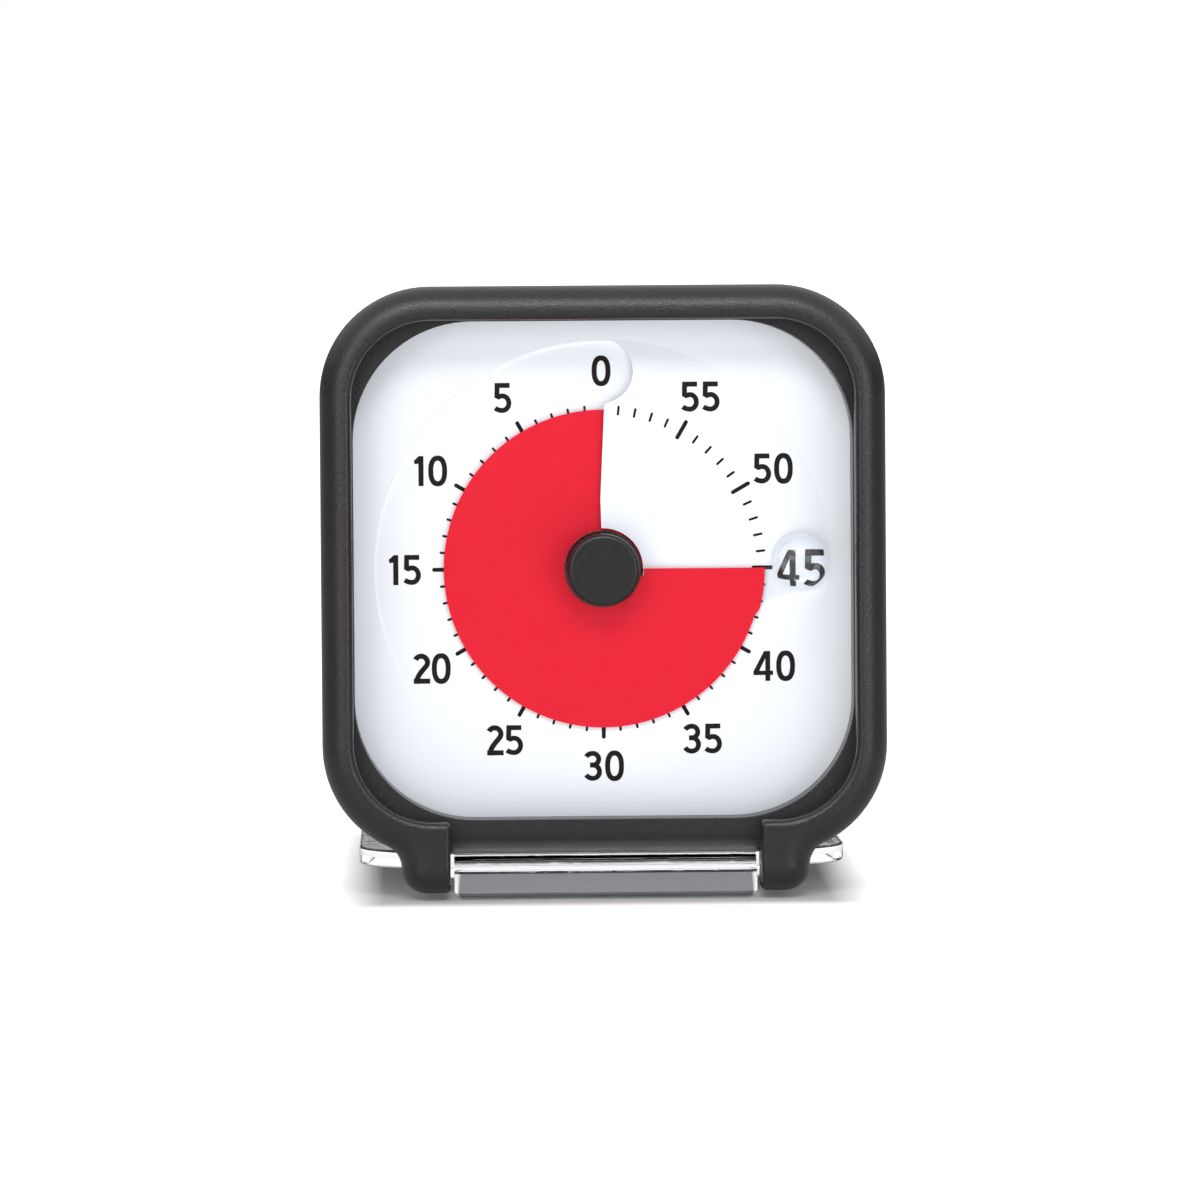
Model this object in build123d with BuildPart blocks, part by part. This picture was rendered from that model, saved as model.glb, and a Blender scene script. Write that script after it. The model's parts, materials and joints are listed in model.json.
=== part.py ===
"""Visual countdown timer: a square case with a red disk that slides out of sight through a slit in its dial.

The clear cover is hinged between two ears and folds right round to the back, where the timer stands on it.
Millimetres, +Z up, the dial faces -Y. z = 0 is the table, and x = 0 runs through the middle of the dial.
Body coordinates are used for the case: right, up along the dial, and out towards the reader. Out is 0 at
the crest of the bezel and negative behind it. Turns are counted anticlockwise from the 0 of the dial.
"""

import os
from math import asin, atan2, cos, hypot, pi, radians, sin, tan

from build123d import *

os.makedirs("parts", exist_ok=True)

# Places closer than this count as one
TINY = 0.01

# Case
case_width = 76.2
case_height = 76.7
case_corner = 14.8
case_depth = 31.0
front_depth = 23.0
wall = 2.0
rim_side = 4.25
rim_end = 4.6
bezel_round = 3.4
rim_round = 0.9
mouth_corner = 10.7
well_corner = 16.1
dial_depth = 10.0
back_round = 2.0
well_inset = 0.15
sill_edge = 0.13

# Hinge ears below the case
ear_inset = 10.55
ear_width = 6.6
ear_depth = 9.5
ear_drop = 5.05
ear_corner = 3.45
ear_blend = 3.2
ear_edge = 0.6

# Clear cover and its hinge
hinge_drop = 2.8
hinge_setback = 4.0
pin_radius = 1.1
pin_length = 2.95
pin_clearance = 0.06
cover_gap = 0.45
cover_inset = 1.4
cover_depth = 2.4
cover_wall = 1.2
cover_corner = 16.1
cover_clearance = 0.3
cover_shoulder = 7.95
cover_edge = 0.3
bar_half = 2.0
bar_heel = 3.2
bar_head = 0.7
bar_gap = 0.5
bar_corner = 1.2
heel_round = 1.05
neck_rise = 4.2
neck_start = 0.4

# Dial plate, ramp and slit
plate_thickness = 1.2
plate_gap = 0.3
ramp_pitch = 1.6
ramp_drop = 0.6
ramp_thickness = 0.7
ramp_radius = 30.9
ramp_inner = 24.0
ramp_bite = 0.2
sill_turn = 14.0
dial_hole_gap = 0.3
slit_inner = 6.5
slit_outer = 21.6
slit_shift_inner = -0.39
slit_shift_outer = 0.34
slit_overrun = 1.5
slit_room = 6.0
slit_round = 0.6
pocket_radius = 4.38
pocket_shift = -0.1
post_radius = 1.9
post_y = 14.0
snap_length = 6.0
snap_reach = 0.9
snap_thickness = 1.0
snap_play = 0.05

# Disk, tab and hub
film_thickness = 0.3
film_gap = 0.33
film_radius = 21.54
lead_radius = 21.96
lead_turn = 15.0
lead_taper = 2.5
set_turn = 270.0
notch_radius = 5.6
notch_length = 1.07
hub_radius = 5.2
hub_lip = 0.5
hub_foot = 0.15
lens_centre = 26.78
lens_turn = 1.85
lens_radius = 3.85
lens_height = 2.2
# Radius and degrees behind the leading edge along the tab's trailing edge
tab_tail = ((22.0, 14.5), (23.2, 11.5), (26.9, 8.0), (28.4, 7.1), (29.7, 5.4))
tab_reach = 30.5

# Knob and arbor
knob_radius = 4.85
knob_height = 4.1
knob_round = 0.6
bore_depth = 2.0
stem_spare = 0.4
knob_travel_gap = 0.3
stem_radius = 3.2
stem_gap = 0.1
key_width = 1.2
key_depth = 0.6
arbor_radius = 1.0
arbor_gap = 0.05
arbor_flange = 2.2
bush_radius = 2.2
bush_length = 1.0
flange_thickness = 0.6

# Movement
movement_half = 28.0
movement_top = 17.3
movement_drop = 1.35
movement_front = 13.2
movement_wall = 1.2
lid_thickness = 1.2
lid_gap = 0.6
lug_gap = 0.3
lug_half = 3.0
lug_thickness = 2.0
cell_radius = 7.25
cell_length = 50.5
cell_nub_length = 1.3
cell_nub_radius = 2.75
cell_edge = 0.8
cell_rest = 0.05
bay_clearance = 0.3
bay_end_wall = 0.8
contact_sheet = 0.3
contact_size = 9.0
spring_radius = 3.0
spring_wire = 0.35
spring_coils = 3

# Wheels
tooth_module = 0.2
addendum = 0.8
dedendum = 1.15
tooth_share = 0.40
flank_angle = 20.0
pinion_teeth = 7
center_teeth = 105
third_teeth = 84
intermediate_teeth = 70
wheel_thickness = 0.8
pinion_overlap = 0.2
staff_radius = 0.45
pivot_gap = 0.05
pivot_depth = 0.7
center_level = 16.3
third_level = 18.6
intermediate_level = 20.9
third_direction = 25.0
intermediate_direction = 25.0
rotor_direction = -75.0
magnet_radius = 2.5
magnet_length = 2.4
magnet_level = 22.5
magnet_gap = 0.4
clutch_radius = 4.0
clutch_arm = 1.2
clutch_thickness = 0.3
clutch_gap = 0.05

# Stator, coil and board
stator_level = 23.3
stator_thickness = 0.8
stator_arm = 2.6
stator_left = 2.0
stator_right = 25.2
stator_rise = 1.5
stator_head = 5.2
stator_post = 1.2
coil_half = 7.5
coil_radius = 2.4
bobbin_radius = 1.7
bobbin_flange = 2.6
bobbin_flange_thickness = 0.8
core_play = 0.1
board_left = -25.6
board_right = -9.0
board_gap = 1.0
board_level = 24.5
board_thickness = 1.0
board_post = 1.5
chip_size = 6.0
chip_height = 0.9
crystal_radius = 1.0
crystal_length = 6.0

# Back: bosses, door, beeper and switch
boss_gap = 0.4
boss_inset = 7.35
boss_radius = 2.6
boss_hole_play = 0.2
case_screw_radius = 1.1
case_screw_head = 1.9
case_screw_head_height = 1.6
case_screw_length = 11.0
cross_reach = 1.0
cross_width = 0.5
cross_depth = 0.7
screw_play = 0.15
counterbore_depth = 5.0
small_screw_radius = 0.95
small_screw_head = 1.9
small_screw_head_height = 1.2
small_screw_length = 3.4
tongue_half = 20.0
tongue_height = 1.5
tongue_thickness = 1.0
tongue_play = 0.1
door_width = 55.5
door_height = 16.9
door_ledge = 0.7
door_play = 0.2
door_grip = 12.0
door_groove = 1.0
beeper_x = -18.0
beeper_drop = 7.4
beeper_radius = 6.5
beeper_thickness = 0.5
beeper_ring = 1.0
beeper_ring_height = 1.6
grille_radius = 0.6
grille_pitch = 2.0
switch_x = 16.0
switch_drop = 8.0
switch_travel = 3.0
nub_width = 3.0
nub_height = 2.4
nub_proud = 0.8
nub_round = 0.3
slot_play = 0.2
slider_flange = 1.2
slider_thickness = 1.0
switch_body_length = 12.0
switch_body_height = 6.0
switch_body_depth = 3.6
lead_wire = 0.4
lead_pitch = 1.0
lead_notch = 3.0
lead_room = 1.7
bend_share = 0.45
switch_lead_x = -12.0

# Places worked out from the sizes
half_width = case_width / 2
half_height = case_height / 2
mouth_half_width = half_width - rim_side
mouth_half_height = half_height - rim_end
well_half_width = mouth_half_width - well_inset
well_half_height = mouth_half_height - well_inset
inner_half_width = half_width - wall
inner_half_height = half_height - wall
inner_corner = case_corner - wall
ear_outer = half_width - ear_inset
ear_inner = ear_outer - ear_width
ear_bottom = -half_height - ear_drop
hinge_up = -half_height - hinge_drop
cover_top = hinge_setback - cover_inset
cover_rim = cover_top - cover_depth
cover_recess = cover_inset + cover_depth + cover_clearance
cover_far = mouth_half_height - hinge_up - cover_gap
cover_half = mouth_half_width - cover_gap
bar_end = ear_inner - bar_gap
knob_hole_radius = hub_radius + dial_hole_gap
movement_bottom = movement_drop - inner_half_height
movement_back = case_depth - wall - lid_gap - lid_thickness
movement_depth = movement_back - movement_front
board_back = board_level + board_thickness
lead_level = board_back + lead_wire
lug_end = inner_half_width - lug_gap
post_x = (movement_half + inner_half_width) / 2
boss_offset_x = movement_half + boss_gap + boss_radius
boss_offset_y = half_height - boss_inset
beeper_y = inner_half_height - beeper_drop
switch_y = inner_half_height - switch_drop

# The lean follows from the table touching the round heel of the hinge bar and the far rim of the cover
heel_back = bar_half - heel_round
heel_up = heel_round - bar_heel
far_back = cover_far - cover_edge
far_up = cover_rim + cover_edge
rest_span = hypot(far_back - heel_back, far_up - heel_up)
lean = atan2(far_up - heel_up, far_back - heel_back) + asin((heel_round - cover_edge) / rest_span)

# Height of the hinge axis above the table, then the crest's middle point, centred front to back
hinge_z = heel_round - heel_up * cos(lean) + heel_back * sin(lean)
crest_z = hinge_z - hinge_up * cos(lean) + hinge_setback * sin(lean)
front_y = (ear_bottom + bezel_round) * sin(lean) + bezel_round * cos(lean) - bezel_round
hinge_y = hinge_up * sin(lean) + hinge_setback * cos(lean)
back_y = hinge_y + far_back * cos(lean) + (cover_top - cover_edge) * sin(lean) + cover_edge
crest_y = -(front_y + back_y) / 2

right = Vector(1, 0, 0)
up = Vector(0, sin(lean), cos(lean))
out = Vector(0, -cos(lean), sin(lean))
body = Plane(origin=(0, crest_y, crest_z), x_dir=right, z_dir=out)
out_axis = Axis(body.origin, out)
up_axis = Axis(body.origin, up)
hinge_point = body.from_local_coords(Vector(0, hinge_up, -hinge_setback))


def at(behind):
    """The plane parallel to the dial, this far behind the crest of the bezel."""
    return body.offset(-behind)


def side(x):
    """The plane at this x whose own x runs back and whose own y runs up, seen from the hinge axis."""
    return Plane(origin=hinge_point + right * x, x_dir=out * -1, z_dir=right)


def spot(x, y, behind):
    """A point in the room, from body coordinates."""
    return body.from_local_coords(Vector(x, y, -behind))


def ramp_level(turn):
    """How far the ramp's top stands in front of the flat dial at a turn in degrees."""
    return ramp_pitch * turn / 360 - ramp_drop


def helix_edge(radius, turn_from, turn_to, level):
    """The helix of one ramp pitch per turn at a radius, from one turn to another."""
    span = turn_to - turn_from
    edge = Edge.make_helix(ramp_pitch, ramp_pitch * span / 360, radius)
    edge = edge.rotate(Axis.Z, 90 + turn_from)
    return edge.translate(Vector(0, 0, ramp_level(turn_from) + level - dial_depth))


def slanted_edge(radius_from, radius_to, turn_from, turn_to, level):
    """The short straight edge between two radii, its ends on the same two helices."""
    ends = []
    for radius, turn in ((radius_from, turn_from), (radius_to, turn_to)):
        ends.append((*on_dial(radius, turn), ramp_level(turn) + level - dial_depth))
    return Edge.make_line(*ends)


def flat_edge(radius, turn_from, turn_to):
    """A level arc on the flat of the dial."""
    edge = Edge.make_circle(radius, start_angle=90 + turn_from, end_angle=90 + turn_to)
    return edge.translate(Vector(0, 0, -dial_depth))


def ruled(inner, outer):
    """The face between two edges in body coordinates, set in its place."""
    return body.from_local_coords(Face.make_surface_from_curves(inner, outer))


def on_dial(radius, turn):
    """Right and up of a point at a radius and a turn in degrees."""
    return (-radius * sin(radians(turn)), radius * cos(radians(turn)))


def beside(centre, distance, direction):
    """The point at a distance from a centre, in a direction in degrees from the right."""
    return (
        centre[0] + distance * cos(radians(direction)),
        centre[1] + distance * sin(radians(direction)),
    )


def corners(x, y):
    """The four mirrored places of a fastener."""
    return [(x, y), (-x, y), (-x, -y), (x, -y)]


def tooth_points(teeth, tooth_at):
    """The outline of a small moulded wheel: straight flanks, one tooth centred on tooth_at degrees."""
    pitch_radius = tooth_module * teeth / 2
    half_tooth = pi * tooth_module * tooth_share / 2
    tip = pitch_radius + addendum * tooth_module
    root = pitch_radius - dedendum * tooth_module
    slope = tan(radians(flank_angle))
    points = []
    for tooth in range(teeth):
        middle = radians(tooth_at) + 2 * pi * tooth / teeth
        for radius, end in ((root, -1), (tip, -1), (tip, 1), (root, 1)):
            half = half_tooth - (radius - pitch_radius) * slope
            angle = middle + end * half / max(radius, pitch_radius)
            points.append((radius * cos(angle), radius * sin(angle)))
    return points


def edges_at(builder, behind, wanted):
    """The builder's edges that lie in the plane this far behind the crest and whose middle is wanted."""
    found = []
    for edge in builder.edges():
        points = [body.to_local_coords(edge @ share) for share in (0, 0.5, 1)]
        if all(abs(p.Z + behind) < TINY for p in points) and wanted(points[1]):
            found.append(edge)
    return found


def on_outline(p, half_across, half_along, corner):
    """Whether a point lies on the outline of a rounded rectangle."""
    past_x = abs(p.X) - half_across + corner
    past_y = abs(p.Y) - half_along + corner
    distance = hypot(max(past_x, 0), max(past_y, 0)) + min(max(past_x, past_y), 0) - corner
    return abs(distance) < TINY


def on_mouth(p):
    """Whether a point is on the edge of the mouth."""
    return on_outline(p, mouth_half_width, mouth_half_height, mouth_corner)


def on_well(p):
    """Whether a point is on the edge of the well."""
    return on_outline(p, well_half_width, well_half_height, well_corner)


# Front housing: bezel, recess for the closed cover, well down to the dial, and the hinge ears
with BuildPart() as front_housing:
    with BuildSketch(at(ear_depth)) as outline:
        RectangleRounded(case_width, case_height, case_corner)
        with Locations((0, (ear_bottom - case_corner) / 2)):
            Rectangle(2 * ear_outer, -ear_bottom - case_corner)
        fillet(outline.vertices().group_by(Axis.Y)[0], ear_corner)
        blend_corners = [v for v in outline.vertices() if abs(abs(v.X) - ear_outer) < TINY]
        fillet([v for v in blend_corners if v.Y > ear_bottom + ear_corner + TINY], ear_blend)
    extrude(amount=ear_depth)
    fillet(front_housing.faces().sort_by(out_axis)[-1].edges(), bezel_round)
    with BuildSketch(at(front_depth)):
        RectangleRounded(case_width, case_height, case_corner)
    extrude(amount=front_depth - ear_depth)
    # the mouth that the closed cover lies in, and the well from its shelf down to the dial
    with BuildSketch(at(0)):
        RectangleRounded(2 * mouth_half_width, 2 * mouth_half_height, mouth_corner)
    extrude(amount=-cover_recess, mode=Mode.SUBTRACT)
    with BuildSketch(at(cover_recess)):
        RectangleRounded(2 * well_half_width, 2 * well_half_height, well_corner)
    extrude(amount=cover_recess - dial_depth, mode=Mode.SUBTRACT)
    fillet(edges_at(front_housing, cover_recess, on_well), sill_edge)
    fillet(edges_at(front_housing, 0, on_mouth), rim_round)
    # the gap between the ears, and the step above it for the neck of the closed cover
    with BuildSketch(at(0)):
        with Locations((0, (ear_bottom - half_height) / 2)):
            Rectangle(2 * ear_inner, ear_drop)
    extrude(amount=-ear_depth, mode=Mode.SUBTRACT)
    with BuildSketch(at(0)):
        with Locations((0, (ear_bottom - mouth_half_height) / 2)):
            Rectangle(2 * ear_inner, -ear_bottom - mouth_half_height)
    extrude(amount=-cover_recess, mode=Mode.SUBTRACT)
    fillet(edges_at(front_housing, cover_recess, lambda p: abs(p.Y + half_height) < TINY), bezel_round)
    with BuildSketch(at(dial_depth)):
        RectangleRounded(2 * inner_half_width, 2 * inner_half_height, inner_corner)
    extrude(amount=dial_depth - front_depth, mode=Mode.SUBTRACT)
    # bosses for the case screws
    with BuildSketch(at(dial_depth)):
        with Locations(*corners(boss_offset_x, boss_offset_y)):
            Circle(boss_radius)
    extrude(amount=dial_depth - front_depth)
    with BuildSketch(at(front_depth)):
        with Locations(*corners(boss_offset_x, boss_offset_y)):
            Circle(case_screw_radius)
    extrude(amount=case_screw_length, mode=Mode.SUBTRACT)
    # snaps that hold the dial plate against its ledge
    with BuildSketch(at(dial_depth + plate_thickness + snap_play)):
        with Locations((inner_half_width, 0), (-inner_half_width, 0)):
            Rectangle(2 * snap_reach, snap_length)
        with Locations((0, inner_half_height), (0, -inner_half_height)):
            Rectangle(snap_length, 2 * snap_reach)
    extrude(amount=-snap_thickness)
    # holes for the cover's pins
    with BuildSketch(side(-ear_inner - pin_length)):
        Circle(pin_radius + pin_clearance)
    extrude(amount=2 * (ear_inner + pin_length), mode=Mode.SUBTRACT)
    fillet(edges_at(front_housing, 0, lambda p: abs(abs(p.X) - ear_inner) < TINY), ear_edge)
front_housing.part.label = "front_housing"
export_step(front_housing.part, "parts/front_housing.step")

# Rear cover: a shallow tray with screw bosses, the battery opening, the beeper's grille and the switch's slot
cell_y = movement_bottom + movement_wall + bay_clearance + cell_radius
with BuildPart() as rear_cover:
    with BuildSketch(at(front_depth)):
        RectangleRounded(case_width, case_height, case_corner)
    extrude(amount=front_depth - case_depth)
    fillet(rear_cover.faces().sort_by(out_axis)[0].edges(), back_round)
    with BuildSketch(at(front_depth)):
        RectangleRounded(2 * inner_half_width, 2 * inner_half_height, inner_corner)
    extrude(amount=front_depth - case_depth + wall, mode=Mode.SUBTRACT)
    with BuildSketch(at(front_depth)):
        with Locations(*corners(boss_offset_x, boss_offset_y)):
            Circle(boss_radius)
    extrude(amount=front_depth - case_depth + wall)
    with BuildSketch(at(front_depth)):
        with Locations(*corners(boss_offset_x, boss_offset_y)):
            Circle(case_screw_radius + screw_play)
    extrude(amount=front_depth - case_depth, mode=Mode.SUBTRACT)
    with BuildSketch(at(case_depth)):
        with Locations(*corners(boss_offset_x, boss_offset_y)):
            Circle(case_screw_head + screw_play)
    extrude(amount=counterbore_depth, mode=Mode.SUBTRACT)
    # tongues that centre the cover inside the front housing
    tongue_x = inner_half_width - tongue_play - tongue_thickness
    tongue_y = inner_half_height - tongue_play - tongue_thickness
    for level, reach in ((front_depth - tongue_height, 0), (front_depth, 2 * tongue_play)):
        thick = tongue_thickness + reach
        with BuildSketch(at(level)):
            with Locations((tongue_x + thick / 2, 0), (-tongue_x - thick / 2, 0)):
                Rectangle(thick, 2 * tongue_half)
            with Locations((0, tongue_y + thick / 2), (0, -tongue_y - thick / 2)):
                Rectangle(2 * tongue_half, thick)
        extrude(amount=-tongue_height)
    # battery opening with a ledge for the door
    with BuildSketch(at(case_depth)):
        with Locations((0, cell_y)):
            Rectangle(door_width, door_height)
    extrude(amount=wall / 2, mode=Mode.SUBTRACT)
    with BuildSketch(at(case_depth)):
        with Locations((0, cell_y)):
            Rectangle(door_width - 2 * door_ledge, door_height - 2 * door_ledge)
    extrude(amount=wall, mode=Mode.SUBTRACT)
    # the ring that the beeper is seated in, and its grille
    with BuildSketch(at(case_depth - wall)):
        with Locations((beeper_x, beeper_y)):
            Circle(beeper_radius + screw_play + beeper_ring)
            Circle(beeper_radius - beeper_ring, mode=Mode.SUBTRACT)
    extrude(amount=beeper_ring_height)
    with BuildSketch(at(case_depth - wall - beeper_ring_height)):
        with Locations((beeper_x, beeper_y)):
            Circle(beeper_radius + screw_play)
    extrude(amount=-beeper_thickness, mode=Mode.SUBTRACT)
    with BuildSketch(at(case_depth)):
        with Locations((beeper_x, beeper_y)):
            Circle(grille_radius)
            with PolarLocations(grille_pitch, 6):
                Circle(grille_radius)
    extrude(amount=wall, mode=Mode.SUBTRACT)
    # the switch's slot, and the rails that its body stands on
    with BuildSketch(at(case_depth)):
        with Locations((switch_x, switch_y)):
            Rectangle(nub_width + switch_travel + 2 * slot_play, nub_height + 2 * slot_play)
    extrude(amount=wall, mode=Mode.SUBTRACT)
    rail_inner = nub_height / 2 + slider_flange + slot_play
    rail_outer = switch_body_height / 2
    rail_height = slider_thickness + slot_play
    with BuildSketch(at(case_depth - wall)):
        with Locations((switch_x, switch_y + (rail_inner + rail_outer) / 2)):
            Rectangle(switch_body_length, rail_outer - rail_inner)
        with Locations((switch_x, switch_y - (rail_inner + rail_outer) / 2)):
            Rectangle(switch_body_length, rail_outer - rail_inner)
    extrude(amount=rail_height)
rear_cover.part.label = "rear_cover"
export_step(rear_cover.part, "parts/rear_cover.step")

# Battery door: a plate on the ledge, a plug inside it and three grip grooves
with BuildPart() as battery_door:
    with BuildSketch(at(case_depth)):
        with Locations((0, cell_y)):
            Rectangle(door_width - 2 * door_play, door_height - 2 * door_play)
    extrude(amount=wall / 2)
    plug_inset = door_ledge + door_play
    with BuildSketch(at(case_depth - wall / 2)):
        with Locations((0, cell_y)):
            Rectangle(door_width - 2 * plug_inset, door_height - 2 * plug_inset)
    extrude(amount=wall / 2 - door_play)
    with BuildSketch(at(case_depth)):
        with Locations((0, cell_y)):
            with GridLocations(0, 2 * door_groove, 1, 3):
                SlotOverall(door_grip, door_groove)
    extrude(amount=door_groove / 2, mode=Mode.SUBTRACT)
battery_door.part.label = "battery_door"
export_step(battery_door.part, "parts/battery_door.step")

# Case screws, driven from the back through the rear cover into the front housing
screw_seat = case_depth - counterbore_depth
with BuildPart() as case_screws:
    with BuildSketch(at(screw_seat)):
        with Locations(*corners(boss_offset_x, boss_offset_y)):
            Circle(case_screw_head)
    extrude(amount=-case_screw_head_height)
    with BuildSketch(at(screw_seat)):
        with Locations(*corners(boss_offset_x, boss_offset_y)):
            Circle(case_screw_radius)
    extrude(amount=case_screw_length)
    with BuildSketch(at(screw_seat + case_screw_head_height)):
        with Locations(*corners(boss_offset_x, boss_offset_y)):
            Rectangle(2 * cross_reach, cross_width)
            Rectangle(cross_width, 2 * cross_reach)
    extrude(amount=cross_depth, mode=Mode.SUBTRACT)
case_screws.part.label = "case_screws"
export_step(case_screws.part, "parts/case_screws.step")

# The lip of the dial: the ramp past the turn where it stands level with the flat, up to the slit
flat_turn = 360 * ramp_drop / ramp_pitch
lip_end = 360 + slit_overrun
plate_radius = ramp_radius + ramp_bite
lip_inner = ruled(
    helix_edge(knob_hole_radius, flat_turn, lip_end, 0),
    helix_edge(ramp_inner, flat_turn, lip_end, 0),
)
lip_outer = ruled(
    helix_edge(ramp_inner, flat_turn, lip_end, 0),
    flat_edge(plate_radius, flat_turn, lip_end),
)
with BuildPart() as dial_lip:
    extrude(lip_inner, amount=ramp_thickness, dir=out * -1)
    extrude(lip_outer, amount=ramp_thickness, dir=out * -1)
    # the slit's edge, and the round pocket that the lens rests in at 0
    slit_slope = (slit_shift_outer - slit_shift_inner) / (slit_outer - slit_inner)
    with BuildSketch(at(dial_depth - ramp_pitch)) as slit:
        with BuildLine():
            Polyline(
                (slit_shift_inner - slit_slope * slit_inner, 0),
                (slit_shift_outer + slit_slope * (lens_centre - slit_outer), lens_centre),
                (-slit_room, lens_centre),
                (-slit_room, 0),
                close=True,
            )
        make_face()
        with Locations((pocket_shift, lens_centre)):
            Circle(pocket_radius)
        fillet([v for v in slit.vertices() if v.X > 0 and v.Y < lens_centre - TINY], slit_round)
    extrude(amount=-2 * ramp_pitch - ramp_thickness, mode=Mode.SUBTRACT)

# Dial plate: a flat with a round hole, filled by the ramp that sinks towards the slit
with BuildPart() as dial_plate:
    with BuildSketch(at(dial_depth)):
        RectangleRounded(
            2 * (inner_half_width - plate_gap), 2 * (inner_half_height - plate_gap), inner_corner - plate_gap
        )
        Circle(ramp_radius, mode=Mode.SUBTRACT)
        with Locations(*corners(boss_offset_x, boss_offset_y)):
            Circle(boss_radius + boss_hole_play, mode=Mode.SUBTRACT)
    extrude(amount=-plate_thickness)
    ramp = ruled(
        helix_edge(knob_hole_radius, -sill_turn, flat_turn, 0),
        helix_edge(plate_radius, -sill_turn, flat_turn, 0),
    )
    extrude(ramp, amount=ramp_thickness, dir=out * -1)
    add(dial_lip.part)
    with BuildSketch(at(dial_depth + plate_thickness)):
        with Locations(*corners(post_x, post_y)):
            Circle(post_radius)
    extrude(amount=dial_depth + plate_thickness - movement_front)
    with BuildSketch(at(movement_front)):
        with Locations(*corners(post_x, post_y)):
            Circle(small_screw_radius)
    extrude(amount=movement_front - dial_depth - plate_thickness, mode=Mode.SUBTRACT)
dial_plate.part.label = "dial_plate"
export_step(dial_plate.part, "parts/dial_plate.step")

# Time disk: one turn of film on the same helix, its last stretch a little wider, with a notch at the hub
with BuildPart() as time_disk:
    lead_start = set_turn - lead_turn
    taper_start = lead_start - lead_taper
    film_level = film_gap + film_thickness
    for outer, turn_from, turn_to in (
        (helix_edge(film_radius, set_turn - 360, taper_start, film_level), set_turn - 360, taper_start),
        (
            slanted_edge(film_radius, lead_radius, taper_start, lead_start, film_level),
            taper_start,
            lead_start,
        ),
        (helix_edge(lead_radius, lead_start, set_turn, film_level), lead_start, set_turn),
    ):
        film = ruled(helix_edge(hub_radius, turn_from, turn_to, film_level), outer)
        extrude(film, amount=film_thickness, dir=out * -1)
    notch_x, notch_y = on_dial((hub_radius + notch_radius) / 2, set_turn)
    with BuildSketch(at(dial_depth - ramp_level(set_turn) - 2 * film_level)):
        with Locations((notch_x, notch_y)):
            Rectangle(notch_radius - hub_radius, 2 * notch_length)
    extrude(amount=-2 * film_level, mode=Mode.SUBTRACT)
time_disk.part.label = "time_disk"
export_step(time_disk.part, "parts/time_disk.step")

# Finger tab: a clear ear beyond the film's leading edge with a domed lens to push it by
tab_turn = set_turn - lead_turn / 2
tab_top = dial_depth - ramp_level(tab_turn) - film_level
lens_x, lens_y = on_dial(lens_centre, set_turn + lens_turn)
lens_sphere = (lens_radius**2 + lens_height**2) / (2 * lens_height)
with BuildPart() as finger_tab:
    with BuildSketch(at(tab_top)):
        with BuildLine():
            tail = Spline(*[on_dial(radius, set_turn - behind) for radius, behind in tab_tail])
            ThreePointArc(
                tail @ 1,
                on_dial(tab_reach, set_turn - lens_turn),
                on_dial(tab_reach, set_turn + lens_turn),
            )
            Line(on_dial(tab_reach, set_turn + lens_turn), (lens_x, lens_y))
            Line((lens_x, lens_y), on_dial(lead_radius, set_turn))
            ThreePointArc(
                on_dial(lead_radius, set_turn),
                on_dial(lead_radius, set_turn - tab_tail[0][1] / 2),
                tail @ 0,
            )
        make_face()
        with Locations((lens_x, lens_y)):
            Circle(lens_radius)
    extrude(amount=-film_thickness)
    lens_point = spot(lens_x, lens_y, tab_top)
    with BuildSketch(Plane(origin=lens_point, x_dir=right, z_dir=up * -1)):
        with BuildLine():
            Line((0, 0), (lens_radius, 0))
            RadiusArc((lens_radius, 0), (0, lens_height), -lens_sphere)
            Line((0, lens_height), (0, 0))
        make_face()
    revolve(axis=Axis(lens_point, out))
finger_tab.part.label = "finger_tab"
export_step(finger_tab.part, "parts/finger_tab.step")

# Disk hub: the clear collar that slides on the knob's stem and carries the film
hub_top = dial_depth - ramp_level(set_turn) - film_level - hub_lip
hub_bottom = dial_depth - ramp_level(set_turn - 360) - film_gap + hub_foot
with BuildPart() as disk_hub:
    with BuildSketch(at(hub_top)):
        Circle(hub_radius)
        Circle(stem_radius + stem_gap, mode=Mode.SUBTRACT)
        Rectangle(
            2 * (stem_radius + key_depth + stem_gap), key_width + 2 * stem_gap, mode=Mode.SUBTRACT
        )
    extrude(amount=hub_top - hub_bottom)
disk_hub.part.label = "disk_hub"
export_step(disk_hub.part, "parts/disk_hub.step")

# Knob: the cap, with a keyed stem that the hub slides on
travel_up = ramp_pitch * (360 - set_turn) / 360
travel_down = ramp_pitch * set_turn / 360
knob_back = hub_top - travel_up - knob_travel_gap
knob_front = knob_back - knob_height
stem_end = hub_bottom + travel_down + stem_spare
arbor_front = knob_back - bore_depth
with BuildPart() as knob:
    with BuildSketch(at(knob_front)):
        Circle(knob_radius)
    extrude(amount=-knob_height)
    fillet(knob.faces().sort_by(out_axis)[-1].edges(), knob_round)
    with BuildSketch(at(knob_back)):
        Circle(stem_radius)
        Rectangle(2 * (stem_radius + key_depth), key_width)
    extrude(amount=knob_back - stem_end)
    with BuildSketch(at(stem_end)):
        Circle(arbor_radius)
    extrude(amount=stem_end - arbor_front, mode=Mode.SUBTRACT)
knob.part.label = "knob"
export_step(knob.part, "parts/knob.step")

# Arbor: pressed into the knob, with a flange behind the center wheel
flange_front = center_level + wheel_thickness + clutch_gap
with BuildPart() as arbor:
    with BuildSketch(at(arbor_front)):
        Circle(arbor_radius)
    extrude(amount=arbor_front - movement_back - pivot_depth + pivot_gap)
    with BuildSketch(at(flange_front)):
        Circle(arbor_flange)
    extrude(amount=-flange_thickness)
arbor.part.label = "arbor"
export_step(arbor.part, "parts/arbor.step")

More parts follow.
